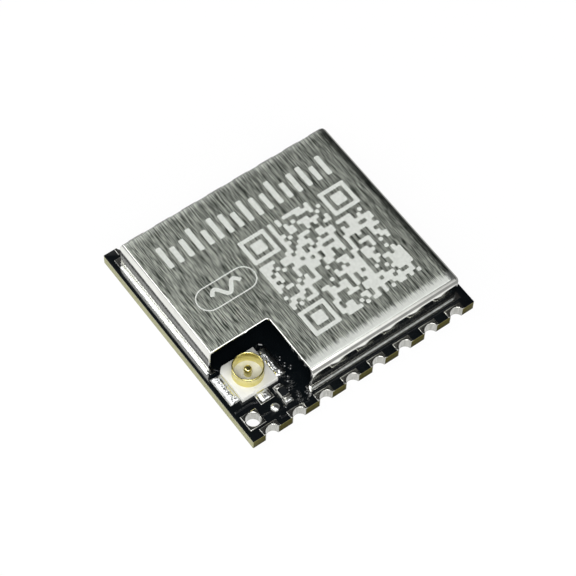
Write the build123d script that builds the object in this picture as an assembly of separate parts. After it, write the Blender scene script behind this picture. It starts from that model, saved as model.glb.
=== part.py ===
from build123d import *
import os
from math import floor

os.makedirs("parts", exist_ok=True)

ON_BASE = (Align.CENTER, Align.CENTER, Align.MIN)
SAME_PLACE = 1e-6

# A small radio module: a black circuit board with two rows of half-hole pads, a folded
# shield can over the radio, and a miniature coaxial antenna socket in the can's open corner.
# Millimetres. X runs along the pad rows, Y from the front row to the back row, Z up.
# The origin is the middle of the board's underside.

# Circuit board
board_length = 16.8
board_width = 16.0
board_thickness = 0.8
board_corner_radius = 0.05
copper_depth = 0.04
plating = 0.04

# Half-hole pads along the front and back edges
pad_pitch = 2.0
row_end_margin = 1.2
half_hole_radius = 0.5
half_hole_overhang = 0.1
pad_ring_width = 0.12

# Shield can, folded from one sheet, and its land on the board
sheet = 0.15
can_height = 2.4
fold_inner_radius = 0.13
corner_round_extra = 0.05
open_corner_radius = 0.2
can_left_margin = 0.54
can_right_margin = 0.71
can_front_margin = 0.85
can_back_margin = 1.18
land_left_reach = 0.2
land_right_reach = 0.24
land_front_reach = 0.1
land_back_reach = 0.49
land_inside_reach = 0.25
land_notch_reach = 0.12
land_end_step = 0.21
can_solder_width = 0.1
can_solder_height = 0.09
solder_crest = 0.01

# Antenna socket, in the can's open corner
copper_edge_gap = 0.29
ground_land_reach = 2.05
ground_land_length = 2.2
signal_land_reach = 2.08
signal_land_width = 1.0
matching_zone = 1.24
socket_lid_gap = 0.19
notch_side_gap = 0.5
socket_base_size = 2.6
socket_base_height = 0.4
socket_floor_height = 0.25
socket_base_corner = 0.25
ring_radius = 1.0
ring_wall = 0.1
ring_foot_height = 0.2
ring_top_height = 1.25
ring_lip = 0.03
leg_thickness = 0.12
leg_width = 1.9
leg_rib_width = 0.12
leg_rib_height = 0.1
leg_rib_gap = 0.1
pin_radius = 0.25
pin_top_height = 1.03
pin_tip_chamfer = 0.08
signal_foot_width = 0.5
signal_foot_reach = 1.62
joint_length = 0.3
joint_height = 0.11
joint_inset = 0.05
joint_slope = 30

# Antenna wire hole in the corner
wire_pad_size = 1.16
wire_hole_radius = 0.46
copper_gap = 0.14

# Chip resistor and solder bump beside the socket
chip_length = 1.0
chip_width = 0.5
chip_height = 0.33
chip_end_length = 0.2
chip_end_wrap = 0.02
chip_land_extra = 0.21
chip_land_under = 0.22
chip_base_gap = 0.2
resistor_shift = 1.02
bump_shift = 0.1
bump_radius = 0.28
bump_height = 0.18
bump_land_size = 0.6
bump_gap = 0.34

# Parts under the can
radio_size = 4.0
radio_height = 0.9
radio_contact_height = 0.05
radio_contact_count = 6
radio_contact_pitch = 0.5
radio_contact_width = 0.25
radio_contact_length = 0.4
radio_centre_pad = 2.6
radio_mark_radius = 0.2
radio_mark_depth = 0.05
radio_mark_inset = 0.5
clock_length = 2.5
clock_width = 2.0
clock_base_height = 0.5
clock_lid_height = 0.25
clock_lid_inset = 0.15
switch_length = 2.0
switch_width = 1.25
switch_height = 0.9
switch_standoff = 0.08
switch_lead_pitch = 0.65
switch_lead_width = 0.25
switch_lead_reach = 0.35
switch_lead_thickness = 0.12
coil_length = 2.0
coil_width = 1.6
coil_height = 1.2
coil_end_length = 0.4
part_gap = 0.8
wall_gap = 0.6
chip_row_gap = 0.4
chip_row_pitch = 1.1
filter_row_pitch = 1.5

# Places that follow from the sizes above
left = -board_length / 2
front = -board_width / 2
back = board_width / 2
top = board_thickness
pads_per_row = 1 + floor((board_length - 2 * row_end_margin) / pad_pitch + SAME_PLACE)
pad_depth = half_hole_radius + pad_ring_width - half_hole_overhang
fold_outer_radius = fold_inner_radius + sheet
right_corner_radius = fold_outer_radius + corner_round_extra

can_left = left + can_left_margin
can_right = board_length / 2 - can_right_margin
can_front = front + can_front_margin
can_back = back - can_back_margin

socket_x = left + copper_edge_gap + ground_land_reach
socket_y = front + pad_depth + matching_zone + signal_land_reach
notch_x = socket_x + ground_land_reach + notch_side_gap
notch_y = socket_y + socket_base_size / 2 + socket_lid_gap

wire_pad_reach = max(wire_pad_size / 2, wire_hole_radius + pad_ring_width)
wire_hole_x = left + copper_edge_gap + wire_pad_reach
wire_hole_y = front + pad_depth + copper_gap + wire_pad_reach
resistor_x = socket_x + resistor_shift
resistor_y = socket_y - socket_base_size / 2 - chip_base_gap - chip_length / 2 - chip_land_extra
bump_x = socket_x + bump_shift
bump_y = front + pad_depth + bump_gap + bump_land_size / 2

radio_x = (notch_x + can_right) / 2
back_row_y = can_back - sheet - wall_gap - chip_length / 2
radio_y = back_row_y - chip_length / 2 - chip_row_gap - radio_size / 2
clock_x = radio_x - radio_size / 2 - part_gap - clock_length / 2
lower_y = (can_front + notch_y) / 2
switch_x = notch_x + sheet + wall_gap + switch_width / 2 + switch_lead_reach
coil_x = can_right - sheet - wall_gap - coil_length / 2
filter_x = (switch_x + switch_width / 2 + switch_lead_reach + coil_x - coil_length / 2) / 2


def block(length, width, height, x, y, z):
    """A box standing on height z, centred on x and y."""
    return Pos(x, y, z) * Box(length, width, height, align=ON_BASE)


def rod(radius, height, x, y, z):
    """An upright cylinder standing on height z."""
    return Pos(x, y, z) * Cylinder(radius, height, align=ON_BASE)


def board_prism():
    """The board's outline, full thickness, with its four rounded corners."""
    plate = block(board_length, board_width, board_thickness, 0, 0, 0)
    return fillet(plate.edges().filter_by(Axis.Z), board_corner_radius)


def row_places():
    """Centres of the half holes: front row from the left, then back row from the right."""
    half_row = (pads_per_row - 1) * pad_pitch / 2
    xs = [i * pad_pitch - half_row for i in range(pads_per_row)]
    front_row = [(x, front - half_hole_overhang, 1) for x in xs]
    back_row = [(x, back + half_hole_overhang, -1) for x in reversed(xs)]
    return front_row + back_row


def half_hole_envelope(x, y, inward):
    """Everything one half-hole pad takes out of the board: drilled hole and both copper lands."""
    drilled = rod(half_hole_radius + plating, board_thickness, x, y, 0)
    width = 2 * (half_hole_radius + pad_ring_width)
    reach = half_hole_overhang + pad_depth
    middle = y + inward * reach / 2
    upper = block(width, reach, copper_depth, x, middle, top - copper_depth)
    lower = block(width, reach, copper_depth, x, middle, 0)
    return drilled + upper + lower


def castellated_pad(x, y, inward):
    """One plated half hole with its copper land above and its like below."""
    solid = half_hole_envelope(x, y, inward) & board_prism()
    return solid - rod(half_hole_radius, board_thickness, x, y, 0)


def flush_land(length, width, x, y):
    """A tinned copper land, level with the board's upper face."""
    return block(length, width, copper_depth, x, y, top - copper_depth)


def can_outline(left_grow, right_grow, front_grow, back_grow, right_radius):
    """The can's plan, each side moved outwards by its own amount, its two right corners rounded."""
    x0, x1 = can_left - left_grow, can_right + right_grow
    y0, y1 = can_front - front_grow, can_back + back_grow
    outline = Pos((x0 + x1) / 2, (y0 + y1) / 2) * Rectangle(x1 - x0, y1 - y0)
    if right_radius > 0:
        outline = fillet(outline.vertices().group_by(Axis.X)[-1], right_radius)
    return outline


def can_prism(grow, height, fold):
    """A closed block of the can's plan grown all round, standing on the board, upper edges rounded."""
    outline = can_outline(grow, grow, grow, grow, right_corner_radius + grow)
    solid = Pos(0, 0, top) * extrude(outline, height)
    if fold > 0:
        solid = fillet(solid.edges().group_by(Axis.Z)[-1], fold)
    return solid


def open_corner(grow):
    """The space over the antenna socket, which the can, its solder and its land leave open."""
    length = notch_x - grow - left
    width = notch_y - grow - front
    height = copper_depth + 2 * can_height
    room = block(length, width, height, left + length / 2, front + width / 2, top - copper_depth)
    inner_edge = room.edges().filter_by(Axis.Z).group_by(Axis.X)[-1].sort_by(Axis.Y)[-1]
    return fillet(inner_edge, open_corner_radius)


def shield_can():
    """One folded sheet: flat lid and four walls, with one corner cut away and left open."""
    outside = can_prism(0, can_height, fold_outer_radius)
    inside = can_prism(-sheet, can_height - sheet, fold_inner_radius)
    return outside - inside - open_corner(0)


def shield_ground_land():
    """The tinned strip that the can's foot stands on, level with the board's upper face."""
    outer = can_outline(land_left_reach, land_right_reach, land_front_reach, land_back_reach, 0)
    reach = sheet + land_inside_reach
    inner = can_outline(-reach, -reach, -reach, -reach, 0)
    strip = Pos(0, 0, top - copper_depth) * extrude(outer - inner, copper_depth)
    step_width = land_notch_reach + land_end_step
    step_x = can_left - land_left_reach / 2
    step_y = notch_y - land_notch_reach + step_width / 2
    end = flush_land(land_left_reach, step_width, step_x, step_y)
    return strip - open_corner(land_notch_reach) - end


def shield_solder():
    """The thin sloped bead of solder along the outside of the can's foot."""
    grow = [can_solder_width, solder_crest]
    foot, crest = [can_outline(g, g, g, g, right_corner_radius + g) for g in grow]
    bead = loft([Pos(0, 0, top) * foot, Pos(0, 0, top + can_solder_height) * crest])
    return bead - can_prism(0, can_height, 0) - open_corner(0)


def ground_contact():
    """The socket's sprung outer ring and its two soldered legs, stamped as one gold-plated piece."""
    ring_height = ring_top_height - ring_foot_height
    ring = rod(ring_radius, ring_height, socket_x, socket_y, top + ring_foot_height)
    ring = chamfer(ring.edges().group_by(Axis.Z)[-1], ring_lip)
    core = rod(ring_radius - ring_wall, ring_top_height, socket_x, socket_y, top)
    foot = rod(ring_radius, ring_foot_height, socket_x, socket_y, top)
    foot = foot & block(2 * ring_radius, leg_width / 2, ring_foot_height, socket_x, socket_y, top)
    contact = ring + foot
    reach = ground_land_reach - joint_length
    leg_start = ring_radius - ring_wall
    for side in (-1, 1):
        middle = socket_x + side * (leg_start + reach) / 2
        contact += block(reach - leg_start, leg_width, leg_thickness, middle, socket_y, top)
        rib_x = socket_x + side * (socket_base_size / 2 + leg_rib_gap + leg_rib_width / 2)
        contact += block(leg_rib_width, leg_width, leg_thickness + leg_rib_height, rib_x, socket_y, top)
    return contact - core


def centre_contact():
    """The gold centre pin and the foot that carries the signal out at the front."""
    pin = rod(pin_radius, pin_top_height, socket_x, socket_y, top)
    pin = chamfer(pin.edges().group_by(Axis.Z)[-1], pin_tip_chamfer)
    foot_y = socket_y - signal_foot_reach / 2
    return pin + block(signal_foot_width, signal_foot_reach, leg_thickness, socket_x, foot_y, top)


def socket_base(ring, pin):
    """The white moulded block that holds ring and pin apart, with a sunk floor inside the ring."""
    base = block(socket_base_size, socket_base_size, socket_base_height, socket_x, socket_y, top)
    corner = base.edges().filter_by(Axis.Z).group_by(Axis.Y)[-1].sort_by(Axis.X)[0]
    base = chamfer(corner, socket_base_corner)
    well_depth = socket_base_height - socket_floor_height
    base -= rod(ring_radius - ring_wall / 2, well_depth, socket_x, socket_y, top + socket_floor_height)
    return base - ring - pin


def solder_joint(length, width, x, y, metal):
    """A sloped pad of solder on a land, against the metal it holds."""
    foot = Pos(x, y, top) * Rectangle(length - 2 * joint_inset, width - 2 * joint_inset)
    return extrude(foot, joint_height, taper=joint_slope) - metal


def wire_hole_envelope():
    """What the antenna wire hole takes out of the board: drilled hole, square land above, ring below."""
    drilled = rod(wire_hole_radius + plating, board_thickness, wire_hole_x, wire_hole_y, 0)
    ring = rod(wire_hole_radius + pad_ring_width, copper_depth, wire_hole_x, wire_hole_y, 0)
    return drilled + ring + flush_land(wire_pad_size, wire_pad_size, wire_hole_x, wire_hole_y)


def antenna_wire_pad():
    """The plated through hole in the corner with its square land."""
    return wire_hole_envelope() - rod(wire_hole_radius, board_thickness, wire_hole_x, wire_hole_y, 0)


def chip_lands(x, y):
    """The two lands under a chip part that stands along Y."""
    land = chip_land_under + chip_land_extra
    offset = chip_length / 2 + chip_land_extra - land / 2
    width = chip_width + 2 * joint_inset
    return [flush_land(width, land, x, y + side * offset) for side in (1, -1)]


def resistor_body():
    """The ceramic block between the two metal ends."""
    return block(chip_width, chip_length - 2 * chip_end_length, chip_height, resistor_x, resistor_y, top)


def resistor_ends():
    """The two tinned ends, alike."""
    offset = (chip_length - chip_end_length) / 2
    height = chip_height + chip_end_wrap
    width = chip_width + 2 * chip_end_wrap
    places = [resistor_y + offset, resistor_y - offset]
    return [block(width, chip_end_length, height, resistor_x, y, top) for y in places]


def resistor_joints(ends):
    """The solder that climbs each end."""
    length = chip_width + 2 * joint_inset
    width = chip_land_extra + 2 * joint_inset
    offset = (chip_length + chip_land_extra) / 2
    back_end, front_end = ends
    return [solder_joint(length, width, resistor_x, resistor_y + offset, back_end),
            solder_joint(length, width, resistor_x, resistor_y - offset, front_end)]


def solder_bump():
    """A low dome of solder on a spare land."""
    ball_radius = (bump_radius ** 2 + bump_height ** 2) / (2 * bump_height)
    ball = Pos(bump_x, bump_y, top + bump_height - ball_radius) * Sphere(ball_radius)
    return ball & rod(bump_radius * 2, bump_height * 2, bump_x, bump_y, top)


def radio_body():
    """The moulded radio chip, raised on its contacts, with a sunk dot at one corner."""
    height = radio_height - radio_contact_height
    body = block(radio_size, radio_size, height, radio_x, radio_y, top + radio_contact_height)
    corner = radio_size / 2 - radio_mark_inset
    dot = rod(radio_mark_radius, radio_mark_depth, radio_x - corner, radio_y + corner,
              top + radio_height - radio_mark_depth)
    return body - dot


def radio_contacts():
    """The flat contacts along the radio chip's four edges, and its centre pad."""
    contacts = [block(radio_centre_pad, radio_centre_pad, radio_contact_height, radio_x, radio_y, top)]
    offset = (radio_size - radio_contact_length) / 2
    for i in range(radio_contact_count):
        along = (i - (radio_contact_count - 1) / 2) * radio_contact_pitch
        for side in (-1, 1):
            contacts.append(block(radio_contact_length, radio_contact_width, radio_contact_height,
                                  radio_x + side * offset, radio_y + along, top))
            contacts.append(block(radio_contact_width, radio_contact_length, radio_contact_height,
                                  radio_x + along, radio_y + side * offset, top))
    return contacts


def clock_base():
    """The ceramic tray of the reference oscillator."""
    return block(clock_length, clock_width, clock_base_height, clock_x, radio_y, top)


def clock_lid():
    """The metal lid welded on the oscillator."""
    return block(clock_length - 2 * clock_lid_inset, clock_width - 2 * clock_lid_inset, clock_lid_height,
                 clock_x, radio_y, top + clock_base_height)


def switch_body():
    """The moulded antenna switch, held off the board by its leads."""
    height = switch_height - switch_standoff
    return block(switch_width, switch_length, height, switch_x, lower_y, top + switch_standoff)


def switch_leads():
    """Six flat leads, three on each side: each runs from the moulding's foot out over the board."""
    leads = []
    height = switch_standoff + switch_lead_thickness
    for side in (-1, 1):
        x = switch_x + side * (switch_width + switch_lead_reach) / 2
        for i in (-1, 0, 1):
            y = lower_y + i * switch_lead_pitch
            leads.append(block(switch_lead_reach, switch_lead_width, height, x, y, top))
    return leads


def regulator_coil():
    """The wound coil of the voltage regulator: a ferrite block with a metal cap at each end."""
    core_length = coil_length - 2 * coil_end_length
    core_width = coil_width - 2 * chip_end_wrap
    core = block(core_length, core_width, coil_height - chip_end_wrap, coil_x, lower_y, top)
    for side in (-1, 1):
        x = coil_x + side * (coil_length - coil_end_length) / 2
        core += block(coil_end_length, coil_width, coil_height, x, lower_y, top)
    return core


def chip_part(x, y):
    """A chip capacitor or chip coil standing along Y: one fired block with wrapped metal ends."""
    body = block(chip_width, chip_length, chip_height, x, y, top)
    for side in (-1, 1):
        body += block(chip_width + 2 * chip_end_wrap, chip_end_length, chip_height + chip_end_wrap,
                      x, y + side * (chip_length - chip_end_length) / 2, top)
    return body


def supply_capacitor_places():
    """Three capacitors behind the radio chip and three beside it, on its right."""
    beside_x = radio_x + radio_size / 2 + chip_row_gap + chip_width / 2
    behind = [(radio_x + i * chip_row_pitch, back_row_y) for i in (-1, 0, 1)]
    beside = [(beside_x, radio_y + i * filter_row_pitch) for i in (-1, 0, 1)]
    return behind + beside


def filter_places(side):
    """Three chips in a row, between the antenna switch and the coil."""
    y = lower_y + side * filter_row_pitch / 2
    return [(filter_x + i * chip_row_pitch, y) for i in (-1, 0, 1)]


def circuit_board(cutters):
    """The laminate with its black mask, less every hole and every land that lies flush in it."""
    return board_prism() - cutters


def save(shape, node):
    """Writes one node's STEP file. A list is a node of several separate solids."""
    if isinstance(shape, list):
        shape = Compound(children=[s.solid() for s in shape])
    export_step(shape, f"parts/{node}.step")


pads = [castellated_pad(*place) for place in row_places()]
for number, pad in enumerate(pads, start=1):
    save(pad, f"castellated_pad_{number:02d}")

ground_land = shield_ground_land()
land_start = socket_base_size / 2 - leg_rib_gap
side_land_length = ground_land_reach - land_start
side_land_offset = (ground_land_reach + land_start) / 2
left_land = flush_land(side_land_length, ground_land_length, socket_x - side_land_offset, socket_y)
right_land = flush_land(side_land_length, ground_land_length, socket_x + side_land_offset, socket_y)
signal_land_length = signal_land_reach - land_start
signal_land_y = socket_y - (signal_land_reach + land_start) / 2
signal_land = flush_land(signal_land_width, signal_land_length, socket_x, signal_land_y)
resistor_lands = chip_lands(resistor_x, resistor_y)
bump_land = flush_land(bump_land_size, bump_land_size, bump_x, bump_y)

cutters = [half_hole_envelope(*place) for place in row_places()]
cutters += [wire_hole_envelope(), ground_land, left_land, right_land, signal_land, bump_land]
cutters += resistor_lands
save(circuit_board(cutters), "circuit_board")
save(ground_land, "shield_ground_land")
save(shield_can(), "shield_can")
save(shield_solder(), "shield_solder")

outer_contact = ground_contact()
inner_contact = centre_contact()
save(outer_contact, "antenna_socket_ring")
save(inner_contact, "antenna_socket_pin")
save(socket_base(outer_contact, inner_contact), "antenna_socket_base")
save(left_land, "antenna_land_left")
save(right_land, "antenna_land_right")
save(signal_land, "antenna_land_signal")

side_joint_length = joint_length + 2 * joint_inset
side_joint_offset = ground_land_reach - joint_length / 2
for side, name in ((-1, "left"), (1, "right")):
    x = socket_x + side * side_joint_offset
    joint = solder_joint(side_joint_length, ground_land_length, x, socket_y, outer_contact)
    save(joint, f"antenna_joint_{name}")
front_joint_length = signal_land_reach - signal_foot_reach + 2 * joint_inset
front_joint_y = socket_y - signal_land_reach + front_joint_length / 2
front_joint = solder_joint(signal_land_width, front_joint_length, socket_x, front_joint_y, inner_contact)
save(front_joint, "antenna_joint_signal")

save(antenna_wire_pad(), "antenna_wire_pad")
ends = resistor_ends()
save(resistor_body(), "matching_resistor_body")
save(ends, "matching_resistor_ends")
save(resistor_joints(ends), "matching_resistor_joints")
save(resistor_lands, "matching_resistor_lands")
save(solder_bump(), "solder_bump")
save(bump_land, "solder_bump_land")

save(radio_body(), "radio_chip_body")
save(radio_contacts(), "radio_chip_contacts")
save(clock_base(), "oscillator_base")
save(clock_lid(), "oscillator_lid")
save(switch_body(), "antenna_switch_body")
save(switch_leads(), "antenna_switch_leads")
save(regulator_coil(), "regulator_coil")
for number, (x, y) in enumerate(supply_capacitor_places(), start=1):
    save(chip_part(x, y), f"supply_capacitor_{number}")
for number, (x, y) in enumerate(filter_places(1), start=1):
    save(chip_part(x, y), f"filter_coil_{number}")
for number, (x, y) in enumerate(filter_places(-1), start=1):
    save(chip_part(x, y), f"filter_capacitor_{number}")
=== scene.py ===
import math
import random

import bmesh
import bpy
from mathutils import Matrix, Quaternion, Vector, geometry


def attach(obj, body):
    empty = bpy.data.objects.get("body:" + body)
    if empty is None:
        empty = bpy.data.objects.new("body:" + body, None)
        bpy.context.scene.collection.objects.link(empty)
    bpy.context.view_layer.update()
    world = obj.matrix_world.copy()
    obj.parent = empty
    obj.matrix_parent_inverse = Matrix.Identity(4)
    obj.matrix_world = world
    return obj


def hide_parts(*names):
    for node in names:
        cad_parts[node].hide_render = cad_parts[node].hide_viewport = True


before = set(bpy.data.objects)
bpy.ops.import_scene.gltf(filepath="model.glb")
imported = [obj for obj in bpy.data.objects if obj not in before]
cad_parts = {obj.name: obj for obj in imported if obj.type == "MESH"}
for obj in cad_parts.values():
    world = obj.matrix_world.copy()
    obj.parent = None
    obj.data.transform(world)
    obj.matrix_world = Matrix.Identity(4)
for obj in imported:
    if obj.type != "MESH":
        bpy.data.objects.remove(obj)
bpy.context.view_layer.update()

scene = bpy.context.scene
scene.view_settings.view_transform = "Standard"

# Camera
# A long lens above the front-left corner, 135 mm away, as the photograph was taken.
# Its place and turn come from a fit to the board's edges and half holes.
camera_data = bpy.data.cameras.new("camera")
camera_data.sensor_width = 36
camera_data.lens = 135.19
camera_data.clip_start = 0.005
camera_data.clip_end = 20
camera = bpy.data.objects.new("camera", camera_data)
turn = Vector((2.493315, -0.804544, 0.256044))
to_camera = Quaternion(turn.normalized(), turn.length).to_matrix()
facing = to_camera.transposed() @ Matrix(((1, 0, 0), (0, -1, 0), (0, 0, -1)))
camera.matrix_world = Matrix.Translation((-0.0434326, -0.0548712, 0.1152350)) @ facing.to_4x4()
scene.collection.objects.link(camera)
scene.camera = camera


# Studio
# A white paper sweep under a dark ceiling, with four soft boxes to the left, in front and overhead.
# The horizon is bright but for the right side. The sweep carries a painted reflection: to reflections only
# it glows white beside the board and far in front, and grey between, so metal mirrors that band.
def linear(code):
    """An sRGB hex colour as linear red, green, blue and alpha."""
    parts = [int(code[i:i + 2], 16) / 255 for i in (1, 3, 5)]
    return [c / 12.92 if c <= 0.04045 else ((c + 0.055) / 1.055) ** 2.4 for c in parts] + [1.0]


def add(tree, kind, inputs=None, **settings):
    """Adds a shader node. Each input is a value, or another node's output to link."""
    made = tree.nodes.new(kind)
    for name, value in settings.items():
        setattr(made, name, value)
    for name, value in (inputs or {}).items():
        if isinstance(value, bpy.types.NodeSocket):
            tree.links.new(value, made.inputs[name])
        else:
            made.inputs[name].default_value = value
    return made


def finish(name):
    """A new empty material and its node tree."""
    material = bpy.data.materials.new(name)
    material.use_nodes = True
    material.node_tree.nodes.clear()
    return material, material.node_tree


def per_metre(width):
    """How often a pattern of a width in millimetres comes in a metre, for a texture's scale."""
    return 1000 / width


def maths(tree, operation, *values):
    """One step of arithmetic on numbers or other nodes' outputs."""
    return add(tree, "ShaderNodeMath", dict(enumerate(values)), operation=operation).outputs[0]


def ranged(tree, value, start, end, low, high, smooth=False):
    """A value that runs from start to end, made to run from low to high and held between them."""
    inputs = {"Value": value, "From Min": start, "From Max": end, "To Min": low, "To Max": high}
    bend = "SMOOTHSTEP" if smooth else "LINEAR"
    return add(tree, "ShaderNodeMapRange", inputs, interpolation_type=bend).outputs[0]


def apart(tree, vector):
    """The x, y and z of a vector."""
    return add(tree, "ShaderNodeSeparateXYZ", {0: vector}).outputs


def on_piece(tree):
    """Where a point lies on its piece, in metres."""
    return add(tree, "ShaderNodeTexCoord").outputs["Object"]


def noise(tree, place, scale, detail):
    """A cloudy pattern. Its scale is one number, or three where it is drawn out in some direction.

    With no place it is laid over the piece's own box, which counts as 1 each way.
    """
    if isinstance(scale, tuple):
        place = add(tree, "ShaderNodeMapping", {"Vector": place, "Scale": scale}).outputs[0]
        scale = 1.0
    inputs = {"Scale": scale, "Detail": detail}
    if place is not None:
        inputs["Vector"] = place
    return add(tree, "ShaderNodeTexNoise", inputs).outputs[0]


def mixed(tree, share, first, second):
    """A colour between two others. Each is a hex code or another node's output."""
    first, second = [linear(one) if isinstance(one, str) else one for one in (first, second)]
    return add(tree, "ShaderNodeMix", {0: share, 6: first, 7: second}, data_type="RGBA").outputs[2]


def bumped(tree, height, strength, relief):
    """A bump, with its relief in millimetres."""
    return add(tree, "ShaderNodeBump", {"Height": height, "Strength": strength,
                                        "Distance": relief / 1000}).outputs[0]


def surface(tree, inputs):
    """Ends a material with one shader."""
    shader = add(tree, "ShaderNodeBsdfPrincipled", inputs)
    add(tree, "ShaderNodeOutputMaterial", {"Surface": shader.outputs[0]})


def clouded(name, width, detail, dark, pale, metallic, roughness, relief):
    """A material whose colour and skin vary in soft clouds, of a width and a relief in millimetres."""
    material, tree = finish(name)
    cloud = noise(tree, on_piece(tree), per_metre(width), detail)
    surface(tree, {"Base Color": mixed(tree, cloud, dark, pale), "Metallic": metallic,
                   "Roughness": roughness, "Normal": bumped(tree, cloud, 0.1, relief)})
    return material


# Cast paper: flat white to the camera, with a pulp texture too faint to see as spots, and a painted grey
# ring that only reflections show.
sweep_radius = 3.0
paper, tree = finish("white_paper_sweep")
rays = add(tree, "ShaderNodeLightPath").outputs
spot = apart(tree, add(tree, "ShaderNodeNewGeometry").outputs["Position"])
# Painted reflection: the glow that glossy rays see is full within about 10 mm of the board, falls to 0.28
# beyond it, and rises again far in front.
away = maths(tree, "MAXIMUM", maths(tree, "ABSOLUTE", spot[1]), maths(tree, "ADD", spot[0], 0.001))
near = ranged(tree, away, 0.0092, 0.0108, 1.0, 0.28, smooth=True)
far = ranged(tree, spot[1], -0.08, -0.02, 1.0, 0.0)
level = maths(tree, "MAXIMUM", maths(tree, "MAXIMUM", near, far), rays["Is Camera Ray"])
seen = maths(tree, "MAXIMUM", rays["Is Camera Ray"], rays["Is Glossy Ray"])
seen = maths(tree, "MAXIMUM", seen, rays["Is Transmission Ray"])
pulp = ranged(tree, noise(tree, None, 2 * sweep_radius * per_metre(6.66), 4.0), 0.0, 1.0, 0.9, 0.94)
matt = add(tree, "ShaderNodeBsdfDiffuse", {"Color": pulp})
glow = add(tree, "ShaderNodeEmission", {"Color": linear("#ffffff"), "Strength": level})
both = add(tree, "ShaderNodeMixShader", {0: maths(tree, "MULTIPLY", seen, 0.93), 1: matt.outputs[0],
                                         2: glow.outputs[0]})
add(tree, "ShaderNodeOutputMaterial", {"Surface": both.outputs[0]})

sweep = bmesh.new()
bmesh.ops.create_circle(sweep, cap_ends=True, segments=96, radius=sweep_radius)
sweep_mesh = bpy.data.meshes.new("paper_sweep")
sweep.to_mesh(sweep_mesh)
sweep.free()
sweep_mesh.materials.append(paper)
floor = bpy.data.objects.new("paper_sweep", sweep_mesh)
scene.collection.objects.link(floor)

world = bpy.data.worlds.new("studio")
world.use_nodes = True
scene.world = world
tree = world.node_tree
tree.nodes.clear()
rays = add(tree, "ShaderNodeLightPath").outputs
way = apart(tree, add(tree, "ShaderNodeTexCoord").outputs["Generated"])
ceiling = ranged(tree, way[2], 0.6, 0.8, 1.15, 0.05, smooth=True)
right = ranged(tree, way[0], 0.35, 0.6, 1.0, 0.04, smooth=True)
behind = ranged(tree, way[1], 0.45, 0.75, 1.0, 0.4, smooth=True)
level = maths(tree, "MULTIPLY", maths(tree, "MULTIPLY", ceiling, right), behind)
level = maths(tree, "MAXIMUM", level, rays["Is Camera Ray"])
air = add(tree, "ShaderNodeBackground", {"Color": linear("#ffffff"), "Strength": level})
add(tree, "ShaderNodeOutputWorld", {"Surface": air.outputs[0]})

for name, place, width, depth, power in (
        ("soft_box_left", (-0.30, 0.24, 0.22), 0.30, 0.16, 0.3),
        ("soft_box_front", (-0.05, -0.36, 0.16), 0.40, 0.16, 0.3),
        ("soft_box_over_lens", (-0.16, -0.22, 0.44), 0.26, 0.26, 1.9),
        ("soft_box_high", (-0.126, 0.133, 0.31), 0.09, 0.09, 0.22)):
    lamp = bpy.data.lights.new(name, "AREA")
    lamp.shape = "RECTANGLE"
    lamp.size = width
    lamp.size_y = depth
    lamp.energy = power
    box = bpy.data.objects.new(name, lamp)
    box.location = place
    box.rotation_mode = "QUATERNION"
    box.rotation_quaternion = (-Vector(place)).to_track_quat("-Z", "Y")
    scene.collection.objects.link(box)


# Laminate
# Glass cloth pressed in epoxy resin, 0.8 mm thick, drilled and then milled through the holes.
# Milled ends are olive; the long sides, which face left and right, are tan.
board_length = 16.8
board_width = 16.0
board_top = 0.8
board_corner = 0.05
mask_thickness = 0.03
hole_radius = 0.46
plating = 0.04
hole_overhang = 0.1
row_xs = [-7.0 + 2.0 * i for i in range(8)]
front = -board_width / 2
wire_hole = Vector((-7.53, -6.76))
wire_hole_radius = 0.46
wire_land_half = 0.58


def arc(x, y, radius, start, end, steps):
    """Points round an arc in millimetres. The angles are in degrees, anticlockwise from +X."""
    angles = [math.radians(start + (end - start) * i / steps) for i in range(steps + 1)]
    return [Vector((x + radius * math.cos(a), y + radius * math.sin(a))) for a in angles]


def hole_cut(radius):
    """The arc that a drilled hole leaves in the front edge, from left to right, about x 0."""
    low = math.degrees(math.asin(hole_overhang / radius))
    return arc(0, front - hole_overhang, radius, 180 - low, low, 24)


def board_edge(cut):
    """The board's outline, anticlockwise, with the same cut at each pad of both rows."""
    half = board_length / 2 - board_corner
    tall = board_width / 2 - board_corner
    edge = arc(-half, -tall, board_corner, 180, 270, 4)
    for x in row_xs:
        edge += [point + Vector((x, 0)) for point in cut]
    edge += arc(half, -tall, board_corner, 270, 360, 4)
    edge += arc(half, tall, board_corner, 0, 90, 4)
    for x in reversed(row_xs):
        edge += [Vector((x + point.x, -point.y)) for point in reversed(cut)]
    edge += arc(-half, tall, board_corner, 90, 180, 4)
    return edge


def circle(centre, radius, steps=48):
    """A round opening, clockwise."""
    return arc(centre[0], centre[1], radius, 360, 360 / steps, steps - 1)


def inset(outline, depth):
    """An outline moved to its left-hand side by a depth: into the sheet, for an edge or an opening."""
    moved = []
    for i, point in enumerate(outline):
        ahead = (outline[(i + 1) % len(outline)] - point).normalized()
        behind = (point - outline[i - 1]).normalized()
        normal = Vector((-ahead.y - behind.y, ahead.x + behind.x)) / 2
        moved.append(point + normal * depth / max(normal.length_squared, 0.25))
    return moved


def ring(mesh, outline, height):
    """A row of new vertices at one height, or at a height for each point."""
    heights = height if isinstance(height, list) else [height] * len(outline)
    return [mesh.verts.new((p[0], p[1], z)) for p, z in zip(outline, heights)]


def strip(mesh, lower, upper):
    """The open wall between two rows of as many vertices."""
    for i in range(len(lower) - 1):
        mesh.faces.new((lower[i], lower[i + 1], upper[i + 1], upper[i]))


def band(mesh, lower, upper):
    """The closed wall between two loops of as many vertices."""
    strip(mesh, lower + lower[:1], upper + upper[:1])


def cap(mesh, *loops):
    """A flat face inside the first loop, less the other loops."""
    corners = [v for loop in loops for v in loop]
    for triangle in geometry.tessellate_polygon([[v.co for v in loop] for loop in loops]):
        mesh.faces.new([corners[i] for i in triangle])


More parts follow.
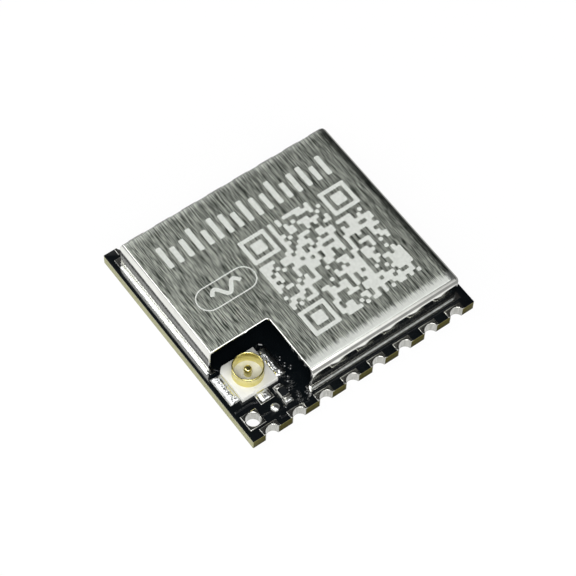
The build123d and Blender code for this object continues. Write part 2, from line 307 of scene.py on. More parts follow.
def lump(mesh, rings):
    """A closed solid: the walls between rows of vertices, and a flat face on the first and last row."""
    for lower, upper in zip(rings, rings[1:]):
        band(mesh, lower, upper)
    cap(mesh, rings[0])
    cap(mesh, rings[-1])


def plate(mesh, outlines, profile):
    """A flat plate: its edge and its openings, each carried up a profile of (height, inset) steps."""
    stacks = []
    for outline in outlines:
        rings = [ring(mesh, inset(outline, depth), height) for height, depth in profile]
        for lower, upper in zip(rings, rings[1:]):
            band(mesh, lower, upper)
        stacks.append(rings)
    cap(mesh, *[rings[0] for rings in stacks])
    cap(mesh, *[rings[-1] for rings in stacks])


def piece(name, mesh, material, slot, *stands_for, sharp=35):
    """Turns a mesh worked in millimetres into a part of the model that stands for CAD nodes."""
    bmesh.ops.recalc_face_normals(mesh, faces=mesh.faces)
    bmesh.ops.scale(mesh, vec=(0.001, 0.001, 0.001), verts=mesh.verts)
    for face in mesh.faces:
        face.smooth = True
    for edge in mesh.edges:
        edge.smooth = edge.is_manifold and edge.calc_face_angle() < math.radians(sharp)
    data = bpy.data.meshes.new(name)
    mesh.to_mesh(data)
    mesh.free()
    for one in material if isinstance(material, list) else [material]:
        data.materials.append(one)
    made = bpy.data.objects.new(name, data)
    scene.collection.objects.link(made)
    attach(made, "root")
    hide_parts(*stands_for)
    return made


# Glass-epoxy laminate, milled and sawn: matt, olive on the ends and tan on the sides that face left and
# right, with the plies of cloth as faint level lines. The olive ends are darker at the foot and paler at the
# top.
laminate, tree = finish("glass_epoxy_laminate_milled")
strand, ply = per_metre(1.11), per_metre(0.111)
place = on_piece(tree)
# Faces turned to the left or right get the tan colour, the ends the olive one.
side_facing = maths(tree, "ABSOLUTE", apart(tree, add(tree, "ShaderNodeNewGeometry").outputs["Normal"])[0])
cloth = noise(tree, place, (strand, strand, ply), 5.0)
tan = mixed(tree, cloth, "#7d7c5a", "#a9a98c")
olive = mixed(tree, cloth, "#262302", "#484305")
height = apart(tree, place)[2]
olive = mixed(tree, ranged(tree, height, 0.00035, 0.0001, 0.0, 0.75), olive, "#221f02")
olive = mixed(tree, ranged(tree, height, 0.00066, 0.00074, 0.0, 0.7), olive, "#666020")
surface(tree, {"Base Color": mixed(tree, side_facing, olive, tan), "Roughness": 0.7, "Specular IOR Level": 0.1,
               "Normal": bumped(tree, cloth, 0.4, 0.03)})

core = bmesh.new()
plate(core, [board_edge(hole_cut(hole_radius + plating)), circle(wire_hole, wire_hole_radius + plating)],
      [(mask_thickness, 0), (board_top - mask_thickness, 0)])
piece("laminate_core", core, laminate, "black_mask", "circuit_board")


# Solder mask
# Glossy black liquid mask printed on both faces, open over every land.
# It stands a hair proud of the laminate and its openings have soft, rounded edges.
land_half_width = 0.62
land_depth = 0.52
socket = Vector((-6.06, -4.16))
leg_land_offset = 1.625
leg_land_half = (0.425, 1.1)
signal_land_offset = 1.64
signal_land_half = (0.5, 0.44)
resistor = Vector((-5.04, -6.37))
resistor_land_offset = 0.495
resistor_land_half = (0.3, 0.215)
bump = Vector((-5.96, -6.84))
bump_land_radius = 0.3
can_left = -7.86
strip_left, strip_right, strip_front, strip_back = -8.06, 7.93, -7.25, 7.31
bare_left, bare_right, bare_front, bare_back = -7.46, 7.29, -6.75, 6.42
strip_end_x, strip_end_y, strip_outer_end_y = -3.63, -2.79, -2.46


def land_cut():
    """The square window that the mask leaves over one pad, from left to right, about x 0."""
    corners = ((-land_half_width, 0), (-land_half_width, land_depth), (land_half_width, land_depth),
               (land_half_width, 0))
    return [Vector((x, front + y)) for x, y in corners]


def rectangle(x, y, half_x, half_y):
    """A square-cornered outline about a middle, anticlockwise."""
    corners = ((-half_x, -half_y), (half_x, -half_y), (half_x, half_y), (-half_x, half_y))
    return [Vector((x + right, y + up)) for right, up in corners]


# Epoxy mask, printed and cured: black and glossy, with the glass cloth below as a faint ripple.
mask, tree = finish("glossy_black_solder_mask")
cloth = noise(tree, on_piece(tree), per_metre(0.556), 3.0)
surface(tree, {"Base Color": mixed(tree, cloth, "#05080a", "#0b0f12"), "IOR": 1.5,
               "Roughness": ranged(tree, cloth, 0.0, 1.0, 0.1, 0.18),
               "Normal": bumped(tree, cloth, 0.1, 0.02)})

ground_strip = [Vector(p) for p in (
    (can_left, strip_end_y), (bare_left, strip_end_y), (bare_left, bare_back), (bare_right, bare_back),
    (bare_right, bare_front), (strip_end_x, bare_front), (strip_end_x, strip_front),
    (strip_right, strip_front), (strip_right, strip_back), (strip_left, strip_back),
    (strip_left, strip_outer_end_y), (can_left, strip_outer_end_y))]
left_land = rectangle(socket.x - leg_land_offset, socket.y, *leg_land_half)
right_land = rectangle(socket.x + leg_land_offset, socket.y, *leg_land_half)
signal_land = rectangle(socket.x, socket.y - signal_land_offset, *signal_land_half)
resistor_lands = [rectangle(resistor.x, resistor.y + side * resistor_land_offset, *resistor_land_half)
                  for side in (1, -1)]
bump_land = circle(bump, bump_land_radius)[::-1]
wire_land = rectangle(wire_hole.x, wire_hole.y, wire_land_half, wire_land_half)
openings = [left_land, right_land, signal_land, bump_land, wire_land, *resistor_lands, ground_strip]

film = bmesh.new()
low = board_top - mask_thickness
plate(film, [board_edge(land_cut())] + [opening[::-1] for opening in openings],
      [(low, 0), (board_top - 0.012, 0), (board_top - 0.004, 0.004), (board_top, 0.015)])
piece("solder_mask_upper", film, mask, "black_mask", "circuit_board")

film = bmesh.new()
plate(film, [board_edge(land_cut()), circle(wire_hole, wire_land_half)],
      [(0, 0.015), (0.004, 0.004), (0.012, 0), (mask_thickness, 0)])
piece("solder_mask_lower", film, mask, "black_mask", "circuit_board")


# Traces and vias under the mask
# Copper about 0.03 mm thick that the mask covers, so it has no colour of its own.
# It shows only as glossy ridges and ringed dimples in the mask.
def ridge(mesh, points, width):
    """A low rounded ridge along a line of points."""
    for start, end in zip(points, points[1:]):
        start, end = Vector(start), Vector(end)
        along = (end - start).normalized()
        across = Vector((-along.y, along.x)) * width / 2
        along = along * width / 2
        outline = [start - along - across, end + along - across,
                   end + along + across, start - along + across]
        plate(mesh, [outline], [(board_top - 0.01, 0), (board_top, 0),
                                (board_top + width * 0.28, width * 0.45)])


def lathe(mesh, centre, profile, steps=72):
    """A ring turned from a closed profile of (radius, height) points."""
    rings = [ring(mesh, circle(centre, radius, steps), height) for radius, height in profile]
    for lower, upper in zip(rings, rings[1:] + rings[:1]):
        band(mesh, lower, upper)


vias = ((-4.19, -5.69, 0.2), (-3.76, -4.28, 0.14), (-3.76, -4.78, 0.14), (-3.58, -5.13, 0.14),
        (-3.76, -7.08, 0.13), (-4.54, -6.3, 0.12), (-5.38, -7.13, 0.11), (-4.3, -6.95, 0.11))
traces = ((((-6.96, -6.9), (-6.3, -6.9)), 0.12),
          (((-8.1, -5.8), (-7.02, -5.8), (-6.66, -5.93)), 0.13),
          (((-6.06, -7.53), (-6.02, -7.63), (-5.7, -7.66)), 0.11),
          (((-4.36, -7.6), (-4.02, -7.65)), 0.11),
          (((-3.4, -7.4), (7.6, -7.4)), 0.05),
          (((-7.45, -2.62), (-7.3, -2.8), (-7.05, -2.82)), 0.13),
          (((-4.5, -2.85), (-4.26, -2.72), (-4.1, -2.86)), 0.13))
relief = bmesh.new()
for x, y, size in vias:
    lathe(relief, (x, y), [(size + 0.03, board_top - 0.01), (size + 0.03, board_top),
                           (size - 0.03, board_top + 0.038), (size - 0.04, board_top + 0.04),
                           (size - 0.1, board_top), (size - 0.1, board_top - 0.01)], 32)
for points, width in traces:
    ridge(relief, points, width)
piece("traces_under_mask", relief, mask, "black_mask", "circuit_board", sharp=15)


# Half-hole pads
# Copper-plated drill holes cut through near their middle, with a land above and one below, all tinned.
# The drill leaves faint upright marks in the wall, and the tin rounds over at each land's edge.

# Tin plated on copper, as drilled: bright grey metal, streaked upright in the holes.
tin, tree = finish("bright_tin_over_copper")
drill_mark, drill_length = per_metre(0.111), per_metre(0.833)
marks = noise(tree, on_piece(tree), (drill_mark, drill_mark, drill_length), 3.0)
surface(tree, {"Base Color": mixed(tree, marks, "#8c8c87", "#d2d2cc"), "Metallic": 1.0, "Roughness": 0.2,
               "Normal": bumped(tree, marks, 0.2, 0.01)})

copper_seat = board_top - plating
rolled_edge = [(copper_seat, 0), (board_top, 0), (board_top + 0.015, 0.008), (board_top + 0.03, 0.03),
               (board_top + 0.035, 0.06)]


def half_hole_land():
    """A pad's land about x 0: a rectangle with the hole's arc cut out of its front, anticlockwise."""
    return ([Vector((-land_half_width, front))] + hole_cut(hole_radius)
            + [Vector((land_half_width, front)), Vector((land_half_width, front + land_depth)),
               Vector((-land_half_width, front + land_depth))])


def place_pad(outline, x, back):
    """A pad's outline at its x, turned over for the back row."""
    if back:
        return [Vector((x + p.x, -p.y)) for p in reversed(outline)]
    return [p + Vector((x, 0)) for p in outline]


pad_places = [(x, False) for x in row_xs] + [(x, True) for x in reversed(row_xs)]
for number, (x, back) in enumerate(pad_places, start=1):
    pad = bmesh.new()
    land = place_pad(half_hole_land(), x, back)
    plate(pad, [land], rolled_edge)
    plate(pad, [land], [(0, 0.01), (0.01, 0), (plating, 0)])
    wall = hole_cut(hole_radius) + hole_cut(hole_radius + plating)[::-1]
    plate(pad, [place_pad(wall, x, back)], [(plating, 0), (copper_seat, 0)])
    piece(f"plated_half_hole_{number:02d}", pad, tin, "tinned_copper", f"castellated_pad_{number:02d}")

# Antenna wire hole
# A plated through hole in a square tinned land, for an antenna that is soldered in.
# The tin rounds over at the land's edge and at the hole's rim.
wire_ring = bmesh.new()
plate(wire_ring, [wire_land, circle(wire_hole, wire_hole_radius)],
      [(copper_seat, 0), (board_top, 0), (board_top + 0.03, 0.012), (board_top + 0.055, 0.05),
       (board_top + 0.06, 0.09)])
plate(wire_ring, [circle(wire_hole, wire_hole_radius + plating)[::-1], circle(wire_hole, wire_hole_radius)],
      [(plating, 0), (copper_seat, 0)])
plate(wire_ring, [circle(wire_hole, wire_land_half)[::-1], circle(wire_hole, wire_hole_radius)],
      [(0, 0.01), (0.01, 0), (plating, 0)])
piece("plated_wire_hole", wire_ring, tin, "tinned_copper", "antenna_wire_pad")

# Lands
# Copper left bare of mask and tinned, under the socket, the resistor, the spare bump and the can.
# Each is level with the mask and crowned a little by its tin.
crowned = [(copper_seat, 0), (board_top, 0), (board_top + 0.022, 0.012), (board_top + 0.04, 0.045),
           (board_top + 0.046, 0.09)]
for name, outline, node in (("left_socket_land", left_land, "antenna_land_left"),
                            ("right_socket_land", right_land, "antenna_land_right"),
                            ("signal_socket_land", signal_land, "antenna_land_signal"),
                            ("spare_land", bump_land, "solder_bump_land")):
    land = bmesh.new()
    plate(land, [outline], crowned)
    piece(name, land, tin, "tinned_copper", node)

land = bmesh.new()
for outline in resistor_lands:
    plate(land, [outline], crowned)
piece("resistor_lands", land, tin, "tinned_copper", "matching_resistor_lands")

land = bmesh.new()
plate(land, [ground_strip], [(copper_seat, 0), (board_top - 0.005, 0), (board_top + 0.002, 0.01),
                             (board_top + 0.005, 0.03)])
piece("ground_strip", land, tin, "tinned_copper", "shield_ground_land")


# Shield can
# Nickel-silver sheet 0.15 mm thick, brushed from front to back and folded down on all sides.
# The brushing shows on the lid; the walls were left rolled and mirror the board beside them.
# One corner is cut away and left open, and its cut edge is bevelled, so it shines as a thin line.
sheet = 0.15
can_right, can_front, can_back, can_top = 7.72, -7.15, 6.82, 3.2
notch_x, notch_y = -3.51, -2.67
fold_reach = 0.28
fold_drop = 0.55
cut_bevel = 0.03
right_corner = 0.33
hollow = 0.2
left_sag = 0.68
right_sag = 1.6
foot_lean = 0.06
fold_lean = -0.055


def wall_path(depth, trim, lean=0.0):
    """The can's plan from the open corner's left end round to its front end, moved in by a depth.

    The fold is narrower on the left and wider on the right, so the depth counts for less or more
    there. The front wall can stand in by a lean as well.
    """
    x0, y0, y1 = can_left + depth * left_sag, can_front + depth + lean, can_back - depth
    x1 = can_right - depth * right_sag
    wide = max(right_corner - depth * right_sag, 0.01)
    deep = max(right_corner - depth, 0.01)
    path = [Vector((x0, notch_y + trim)), Vector((x0, y1))]
    for middle_y, start, end in ((y1 - deep, 90, 0), (y0 + deep, 360, 270)):
        for point in arc(0, 0, 1, start, end, 8):
            path.append(Vector((x1 - wide + wide * point.x, middle_y + deep * point.y)))
    return path + [Vector((notch_x + trim, y0))]


def section(depth):
    """The sheet's section at a depth below its outer face: (height, distance in, front lean) steps.

    The fold bends slowly at first, so its section is a quarter of an ellipse. The front wall leans
    out a little from its foot up to the fold.
    """
    steps = [(z, depth, lean)
             for z, lean in ((board_top, foot_lean), (1.5, 0.02), (2.1, -0.022), (2.45, -0.046))]
    for angle in range(0, 91, 9):
        bend = math.radians(angle)
        steps.append((can_top - fold_drop + (fold_drop - depth) * math.sin(bend),
                      fold_reach - (fold_reach - depth) * math.cos(bend), fold_lean * math.cos(bend) ** 2))
    return steps + [(can_top - depth, fold_reach + 0.02, 0.0), (can_top - depth, fold_reach + 0.08, 0.0)]


# Nickel silver, brushed: grey metal with pale and dark hairs from front to back, a painted sheen along the
# front fold, a paler band along the back fold and a painted dark reflection on the right. The real hairs are
# finer than these.
lid, tree = finish("nickel_silver_brushed")
place = on_piece(tree)
spot = apart(tree, place)
hair = noise(tree, place, (per_metre(0.0526), per_metre(2.33), 1), 1.0)
nick = noise(tree, place, (per_metre(0.0455), per_metre(0.667), 1), 1.0)
grain = add(tree, "ShaderNodeMix", {0: 0.5, 2: hair, 3: nick}, data_type="FLOAT").outputs[0]
dull = mixed(tree, ranged(tree, grain, 0.42, 0.58, 0.0, 1.0), "#4e544c", "#fafff3")
ragged = noise(tree, place, (per_metre(0.0833), per_metre(0.286), 1), 4.0)
# Painted sheen: a ragged band along the front fold, where the lid rolls off and would catch light, is
# painted pale and rougher.
edge = maths(tree, "MULTIPLY_ADD", ragged, 0.0009, spot[1])
front_sheen_and_back_band = ranged(tree, edge, -0.00575, -0.0062, 0.0, 0.95)
# A paler, rougher band along the back fold, made the same way.
edge = maths(tree, "MULTIPLY_ADD", ragged, -0.0014, spot[1])
back_fold_band = ranged(tree, edge, 0.0055, 0.0061, 0.0, 0.5)
front_sheen_and_back_band = maths(tree, "MAXIMUM", front_sheen_and_back_band, back_fold_band)
# Painted dark reflection: the start of the right fold is painted dark.
edge = maths(tree, "MULTIPLY_ADD", ragged, 0.0005, spot[0])
right_dark_reflection = ranged(tree, edge, 0.00725, 0.00745, 0.0, 0.8)
# The pale colour here is the painted sheen, the dark one the painted dark reflection.
colour = mixed(tree, right_dark_reflection, mixed(tree, front_sheen_and_back_band, dull, "#f2f4f0"), "#2c2f2c")
along = add(tree, "ShaderNodeTangent", direction_type="UV_MAP", uv_map="brushing").outputs[0]
surface(tree, {"Base Color": colour, "Metallic": 1.0, "Roughness": ranged(tree, front_sheen_and_back_band, 0.0, 1.0, 0.37, 0.8),
               "Anisotropic": 0.75, "Tangent": along, "Normal": bumped(tree, hair, 0.3, 0.01)})

# Nickel silver, as rolled: a mirror with faint waves, which shows the board and the sweep in it.
wall, tree = finish("nickel_silver_rolled")
wave = noise(tree, on_piece(tree), (per_metre(0.667), per_metre(0.667), per_metre(2.38)), 3.0)
surface(tree, {"Base Color": mixed(tree, wave, "#d8d9d3", "#f6f6f1"), "Metallic": 1.0, "Roughness": 0.09,
               "Normal": bumped(tree, wave, 0.1, 0.02)})

can = bmesh.new()
outer = [ring(can, wall_path(depth, cut_bevel, lean), z) for z, depth, lean in section(0)]
inner = [ring(can, wall_path(depth, 0, lean), z) for z, depth, lean in section(sheet)]
for rows in (outer, inner):
    for lower, upper in zip(rows, rows[1:]):
        strip(can, lower, upper)
strip(can, outer[0], inner[0])
ends = {}
for end in (0, -1):
    middle = [ring(can, [wall_path(depth, 0, lean)[end]], z)[0] for z, depth, lean in section(cut_bevel)]
    strip(can, [row[end] for row in outer], middle)
    strip(can, middle, [row[end] for row in inner])
    can.faces.new((outer[0][end], middle[0], inner[0][end]))
    ends[end] = middle[-1]
edges = []
for first, last, radius, height in ((outer[-1][-1], outer[-1][0], hollow + cut_bevel, can_top),
                                    (ends[-1], ends[0], hollow, can_top - cut_bevel),
                                    (inner[-1][-1], inner[-1][0], hollow, can_top - sheet)):
    bend = arc(notch_x - hollow, notch_y - hollow, radius, 0, 90, 8)
    edges.append([first] + ring(can, bend, height) + [last])
strip(can, edges[0], edges[1])
strip(can, edges[1], edges[2])
cap(can, outer[-1] + edges[0][1:-1])
cap(can, inner[-1] + edges[2][1:-1])
bmesh.ops.recalc_face_normals(can, faces=can.faces)
brushing = can.loops.layers.uv.new("brushing")
for face in can.faces:
    face.material_index = 0 if face.normal.z > 0.85 else 1
    for corner in face.loops:
        corner[brushing].uv = (corner.vert.co.x / 20, corner.vert.co.y / 20)
piece("folded_can", can, [lid, wall], "can_sheet", "shield_can", sharp=28)

# Solder at the can's foot
# Reflowed solder drawn up between the wall and the ground strip: a thin line in front, behind and on
# the right, and a smooth slope on the left, where the strip is wider.

# Tin solder, reflowed: pale metal with a satin shine and soft highlights.
solder = clouded("reflowed_solder", 0.3125, 2.0, "#c9cbcb", "#f2f3f1", 1.0, 0.28, 0.01)


def finer(outline, step):
    """The same closed outline with points no further apart than a step."""
    points = []
    for i, point in enumerate(outline):
        run = outline[(i + 1) % len(outline)] - point
        parts = max(1, round(run.length / step))
        points += [point + run * k / parts for k in range(parts)]
    return points


# The path closes across the open corner, so it is cut off at the front wall's left end.
foot = finer(wall_path(0, 0, foot_lean), 0.07)
foot = foot[:1 + max(range(len(foot)), key=lambda i: (foot[i].y < can_front + 0.07, -foot[i].x))]
lumps = random.Random(11)
draws = [lumps.random() for point in foot]
padded = draws[:1] + draws + draws[-1:]
draws = [(before + 2 * draw + after) / 4 for before, draw, after in zip(padded, draws, padded[2:])]
slope_gap, slope_width, slope_height = 0.045, 0.13, 0.085
line_width, line_height = 0.05, 0.05
bead = bmesh.new()
rows = []
for out, up in ((1.0, 0.0), (0.86, 0.42), (0.72, 0.5), (0.62, 0.4), (0.52, 0.62), (0.38, 0.95), (0.28, 1.0),
                (0.18, 0.75), (0.1, 0.45), (0.0, 0.5), (0.0, 0.0)):
    outline, heights = [], []
    for i, (point, draw) in enumerate(zip(foot, draws)):
        before, after = foot[max(i - 1, 0)], foot[min(i + 1, len(foot) - 1)]
        way = ((point - before).normalized() + (after - point).normalized()).normalized()
        plain = point.x < can_left + 0.01 and point.y < can_back - 0.1
        if plain:
            gap, size, rise = slope_gap, slope_width + 0.02 * draw, slope_height + 0.01 * draw
        else:
            gap, size, rise = 0.0, line_width + 0.02 * draw, line_height + 0.025 * draw
        outline.append(point + Vector((-way.y, way.x)) * (gap + size * out))
        heights.append(board_top + rise * up)
    rows.append(ring(bead, outline, heights))
for lower, upper in zip(rows, rows[1:] + rows[:1]):
    strip(bead, lower, upper)
cap(bead, [row[0] for row in rows])
cap(bead, [row[-1] for row in rows])
piece("can_solder", bead, solder, "solder", "shield_solder", sharp=80)

# Marks on the lid
# Pale marks burnt into the lid by laser, with a sharp raised rim: a row of level bars, a wave in
# an outline with round ends, and a square field of cells. They spell and encode nothing.

# Nickel silver, burnt by laser: pale, dull and finely flecked.
burnt = clouded("laser_burnt_nickel", 0.143, 3.0, "#b4b7b1", "#d6d9d3", 0.0, 0.7, 0.0)

mark_low, mark_top = can_top - 0.01, can_top + 0.006


def mark(mesh, *outlines):
    """A thin raised mark: an outline, and any openings in it."""
    plate(mesh, outlines, [(mark_low, 0), (can_top, 0), (mark_top, 0.015)])


def pill(x0, x1, y0, y1, radius):
    """An upright or lying bar with round corners, anticlockwise."""
    return (arc(x1 - radius, y0 + radius, radius, 270, 360, 8)
            + arc(x1 - radius, y1 - radius, radius, 0, 90, 8)
            + arc(x0 + radius, y1 - radius, radius, 90, 180, 8)
            + arc(x0 + radius, y0 + radius, radius, 180, 270, 8))


print_marks = bmesh.new()
bar_left, bar_width, bar_pitch, bar_low, bar_tall = -6.36, 0.36, 0.748, 3.515, 1.9
for i in range(17):
    tall = bar_tall * (0.62 + 0.38 * math.cos(i * 1.15) ** 2 * (1 if i % 2 else 0.75))
    x = bar_left + i * bar_pitch
    mark(print_marks, pill(x, x + bar_width, bar_low, bar_low + tall, bar_width / 4))

line = 0.09
badge = (-6.51, -2.26, -0.435, 1.315)
badge_end = 0.87
mark(print_marks, pill(*badge, badge_end),
     pill(badge[0] + line, badge[1] - line, badge[2] + line, badge[3] - line, badge_end - line)[::-1])
wave_left, wave_middle, wave_length, crest, stroke = -5.41, 0.44, 2.1, 0.36, 0.14
upper, lower = [], []
for i in range(49):
    turn = i / 48 * 3 * math.pi
    middle = Vector((wave_left + wave_length * i / 48, wave_middle + crest * math.sin(turn)))
    slope = Vector((wave_length, crest * 3 * math.pi * math.cos(turn))).normalized()
    across = Vector((-slope.y, slope.x)) * stroke
    upper.append(middle + across)
    lower.append(middle - across)
mark(print_marks, lower + upper[::-1])

cells, cell = 29, 0.279
square = 7
far = cells - square
field = Vector((-1.93, -5.42))
lean = math.radians(0.6)
draw = random.Random(7)
filled = set()
for i in range(cells):
    for j in range(cells):
        in_corner = ((i <= square or i >= far - 1) and (j <= square or j >= far - 1)
                     and not (i >= far - 1 and j <= square))
        if not in_corner and draw.random() < 0.52:
            filled.add((i, j))
for i0, j0 in ((0, 0), (0, far), (far, far)):
    for i in range(square):
        for j in range(square):
            rim = i in (0, square - 1) or j in (0, square - 1)
            if rim or (1 < i < 5 and 1 < j < 5):
                filled.add((i0 + i, j0 + j))


def outlines_of(filled):
    """The closed outlines round a set of grid cells, anticlockwise outside and clockwise in holes."""
    steps = {}
    for i, j in filled:
        for start, end, beside in (((i, j), (i + 1, j), (i, j - 1)),
                                   ((i + 1, j), (i + 1, j + 1), (i + 1, j)),
                                   ((i + 1, j + 1), (i, j + 1), (i, j + 1)),
                                   ((i, j + 1), (i, j), (i - 1, j))):
            if beside not in filled:
                steps.setdefault(start, []).append(end)
    loops = []
    while steps:
        first = min(steps)
        loop, here, way = [], first, None
        while True:
            choices = steps[here]
            if way is None or len(choices) == 1:
                there = choices[0]
            else:
                there = next(p for p in choices if (p[0] - here[0], p[1] - here[1]) == (-way[1], way[0]))
            choices.remove(there)
            if not choices:
                del steps[here]
            step = (there[0] - here[0], there[1] - here[1])
            if step != way:
                loop.append(here)
            here, way = there, step
            if here == first:
                break
        loops.append(loop)
    return loops


def softened(loop, cut):
    """A loop of grid corners with each corner cut off, in cells."""
    points = []
    for i, corner in enumerate(loop):
        corner = Vector(corner)
        for other in (loop[i - 1], loop[(i + 1) % len(loop)]):
            points.append(corner + (Vector(other) - corner).normalized() * cut)
    return points


# Cells that share a side make one mark.
turned = Matrix.Rotation(lean, 2)
left_over = set(filled)
while left_over:
    group, edge_cells = set(), [min(left_over)]
    while edge_cells:
        i, j = edge_cells.pop()
        if (i, j) in left_over:
            left_over.discard((i, j))
            group.add((i, j))
            edge_cells += [(i + 1, j), (i - 1, j), (i, j + 1), (i, j - 1)]
    mark(print_marks, *[[field + turned @ (point * cell) for point in softened(loop, 0.2)]
                        for loop in outlines_of(group)])
piece("lid_marks", print_marks, burnt, "can_sheet", "shield_can", sharp=20)

# Antenna socket, moulding
# Heat-proof liquid-crystal polymer, off-white and satin, moulded round the two contacts.
# Its block has one cut corner, and a sunk floor inside the ring.

# Liquid-crystal polymer, moulded: off-white and satin, with faint flow clouds.
moulding = clouded("liquid_crystal_polymer_moulded", 0.385, 4.0, "#c9c9c4", "#d9d9d4", 0.0, 0.5, 0.03)

base_half = 1.3
base_top = 1.2
well_floor = 1.1
cut_corner = 0.25
well_radius = 0.95
block = bmesh.new()
x0, x1 = socket.x - base_half, socket.x + base_half
y0, y1 = socket.y - base_half, socket.y + base_half
plan = [Vector(p) for p in ((x0, y0), (x1, y0), (x1, y1), (x0 + cut_corner, y1), (x0, y1 - cut_corner))]
rings = [ring(block, inset(plan, depth), height)
         for height, depth in ((board_top, 0), (base_top - 0.04, 0), (base_top - 0.015, 0.012),
                               (base_top, 0.04))]
for lower, upper in zip(rings, rings[1:]):
    band(block, lower, upper)
rim = ring(block, circle(socket, well_radius), base_top)
sole = ring(block, circle(socket, well_radius), well_floor)
cap(block, rings[0])
cap(block, rings[-1], rim)
band(block, rim, sole)
cap(block, sole)
piece("socket_moulding", block, moulding, "white_moulding", "antenna_socket_base")

# Antenna socket, contacts
# Stamped phosphor bronze with a thin pale gold plating: an outer ring with two flat legs,
# and a centre pin on a flat foot. The ring has a groove that the plug grips.

# Gold plated on phosphor bronze: pale yellow and polished.
gold = clouded("gold_plated_phosphor_bronze", 0.333, 3.0, "#d2c46e", "#ece5a8", 1.0, 0.2, 0.03)

ring_profile = [(1.0, 1.0), (1.0, 1.27), (0.965, 1.34), (0.955, 1.5), (0.965, 1.72), (0.99, 1.82),
                (1.0, 1.9), (1.0, 1.98), (0.99, 2.025), (0.965, 2.045), (0.94, 2.045), (0.912, 2.02),
                (0.9, 1.97), (0.9, 1.0)]
leg_offset, leg_half = 1.36, (0.39, 0.95)
rib_offset, rib_half = 1.46, (0.06, 0.95)
strip_top = 0.92
stamped = [(board_top, 0), (strip_top - 0.02, 0), (strip_top - 0.005, 0.008), (strip_top, 0.02)]

contact = bmesh.new()
lathe(contact, socket, ring_profile)
for side in (-1, 1):
    plate(contact, [rectangle(socket.x + side * leg_offset, socket.y, *leg_half)], stamped)
    plate(contact, [rectangle(socket.x + side * rib_offset, socket.y, *rib_half)],
          [(strip_top - 0.02, 0), (strip_top + 0.01, 0), (strip_top + 0.025, 0.012),
           (strip_top + 0.03, 0.035)])
piece("socket_ring", contact, gold, "gold_plate", "antenna_socket_ring", sharp=50)

pin_radius = 0.25
foot_offset, foot_half = 0.91, (0.25, 0.71)
pin_profile = [(pin_radius, board_top), (pin_radius, 1.66), (0.245, 1.72), (0.22, 1.78), (0.17, 1.815),
               (0.1, 1.83)]
pin = bmesh.new()
rings = [ring(pin, circle(socket, radius, 40), height) for radius, height in pin_profile]
lump(pin, rings)
plate(pin, [rectangle(socket.x, socket.y - foot_offset, *foot_half)], stamped)
piece("socket_pin", pin, gold, "gold_plate", "antenna_socket_pin", sharp=50)


# Solder joints of the socket and the resistor
# Solder wetted over each leg's end: it climbs the metal and runs out thin over the land.
# No two are alike, so each outline wavers.
def puddle(mesh, x0, x1, y0, y1, tallest, waver, seed):
    """A low mound of solder with round corners, higher in the middle, with an uneven edge."""
    outline = finer(pill(x0, x1, y0, y1, 0.12), 0.06)
    draw = random.Random(seed)
    sway = [draw.uniform(-waver, waver) for point in outline]
    sway = [(sway[i - 1] + 2 * value + sway[(i + 1) % len(sway)]) / 4 for i, value in enumerate(sway)]
    half = min(x1 - x0, y1 - y0) / 2
    rings = []
    for share, up in ((0.0, 0.0), (0.08, 0.3), (0.2, 0.55), (0.35, 0.76), (0.55, 0.92), (0.75, 0.99),
                      (0.9, 1.0)):
        loop = []
        for point, value in zip(outline, sway):
            reach = Vector((max(min(point.x, x1 - half), x0 + half),
                            max(min(point.y, y1 - half), y0 + half)))
            loop.append(point.lerp(reach, min(1, share + value * (1 - share))))
        rings.append(ring(mesh, loop, [board_top + 0.02 + tallest * up * (1 + 2 * v) for v in sway]))
    lump(mesh, rings)


for name, node, box, tall, waver in (
        ("left_joint", "antenna_joint_left", (-8.08, -7.34, -5.24, -3.08), 0.24, 0.1),
        ("right_joint", "antenna_joint_right", (-4.78, -4.1, -5.24, -3.08), 0.15, 0.16),
        ("signal_joint", "antenna_joint_signal", (-6.42, -5.7, -6.14, -5.46), 0.17, 0.04)):
    joint = bmesh.new()
    puddle(joint, *box, tall, waver, len(name))
    piece(name, joint, solder, "solder", node, sharp=80)

half, near, far = 0.28, 0.45, 0.7
joint = bmesh.new()
puddle(joint, resistor.x - half, resistor.x + half, resistor.y + near, resistor.y + far, 0.16, 0.1, 5)
puddle(joint, resistor.x - half, resistor.x + half, resistor.y - far, resistor.y - near, 0.16, 0.1, 6)
piece("resistor_solder", joint, solder, "solder", "matching_resistor_joints", sharp=80)

# Solder bump
# Solder printed on a spare land and melted with nothing in it.
# It drew itself up into a low round dome.
bump_radius, bump_height = 0.28, 0.16
dome = bmesh.new()
rings = []
for i in range(8):
    lift = math.radians(90 * i / 8)
    rings.append(ring(dome, circle(bump, bump_radius * math.cos(lift)),
                      board_top + 0.02 + bump_height * math.sin(lift)))
lump(dome, rings)
piece("spare_solder_bump", dome, solder, "solder", "solder_bump", sharp=80)

# Chip resistor
# A white alumina chip with a black glass coat on its upper face.
# Each end is wrapped in bright tin, and solder climbs up against it.

# Fired alumina with a glass coat: pale grey and matt at the sides, black and shiny on top.
chip, tree = finish("alumina_chip_glass_coated")
normal = apart(tree, add(tree, "ShaderNodeNewGeometry").outputs["Normal"])
upper = maths(tree, "GREATER_THAN", normal[2], 0.6)
fired = mixed(tree, noise(tree, on_piece(tree), per_metre(0.111), 2.0), "#a9aaa4", "#cfd0ca")
surface(tree, {"Base Color": mixed(tree, upper, fired, "#15181a"),
               "Roughness": ranged(tree, upper, 0.0, 1.0, 0.6, 0.25)})

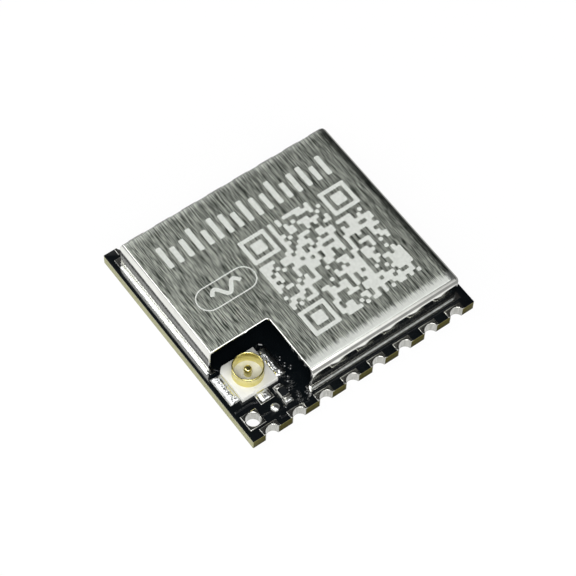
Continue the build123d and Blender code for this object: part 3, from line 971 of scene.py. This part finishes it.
chip_half, chip_top = (0.25, 0.3), 1.13
body = bmesh.new()
plate(body, [rectangle(resistor.x, resistor.y, *chip_half)],
      [(board_top, 0), (chip_top - 0.02, 0), (chip_top - 0.005, 0.006), (chip_top, 0.02)])
piece("resistor_chip", body, chip, "chip_ceramic", "matching_resistor_body")
end_offset, end_half, end_top = 0.4, (0.27, 0.1), 1.15
ends = bmesh.new()
for side in (-1, 1):
    plate(ends, [rectangle(resistor.x, resistor.y + side * end_offset, *end_half)],
          [(board_top, 0), (end_top - 0.07, 0), (end_top - 0.03, 0.012), (end_top - 0.01, 0.03),
           (end_top, 0.06)])
piece("resistor_caps", ends, tin, "tinned_copper", "matching_resistor_ends")

# Parts under the can
# Plain blocks that the can hides: matt black moulded chips, and tan, blue and grey fired bodies
# with dull tinned ends.

# Epoxy moulding compound, moulded: dark grey and matt.
resin, tree = finish("epoxy_moulding_compound_matt")
surface(tree, {"Base Color": mixed(tree, noise(tree, None, 60.0, 3.0), "#1b1b1d", "#2b2b2d"),
               "Roughness": 0.6})


def ended(name, first, second, axis, share):
    """A fired body whose two ends are tinned, told apart by where a point lies along the part."""
    material, tree = finish(name)
    along = apart(tree, add(tree, "ShaderNodeTexCoord").outputs["Generated"])[axis]
    away = maths(tree, "ABSOLUTE", maths(tree, "SUBTRACT", along, 0.5))
    tinned = maths(tree, "GREATER_THAN", away, 0.5 - share)
    fired = mixed(tree, noise(tree, None, 40.0, 3.0), first, second)
    surface(tree, {"Base Color": mixed(tree, tinned, fired, "#d8d8d3"), "Metallic": tinned,
                   "Roughness": 0.4})
    return material


# Fired ceramic or ferrite with dull tinned ends: tan capacitors, blue-grey coils, a dark choke.
capacitor = ended("barium_titanate_fired", "#8a6848", "#a07c58", 1, 0.2)
coil = ended("glass_ceramic_fired", "#2f4a5a", "#3c5a6b", 1, 0.2)
ferrite = ended("ferrite_pressed", "#34353a", "#45464b", 0, 0.2)
dressing = {"radio_chip_body": resin, "radio_chip_contacts": tin, "oscillator_base": chip,
            "oscillator_lid": gold, "antenna_switch_body": resin, "antenna_switch_leads": tin,
            "regulator_coil": ferrite}
for i in range(1, 7):
    dressing[f"supply_capacitor_{i}"] = capacitor
for i in range(1, 4):
    dressing[f"filter_capacitor_{i}"] = capacitor
    dressing[f"filter_coil_{i}"] = coil
for node, material in dressing.items():
    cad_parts[node].data.materials.clear()
    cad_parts[node].data.materials.append(material)
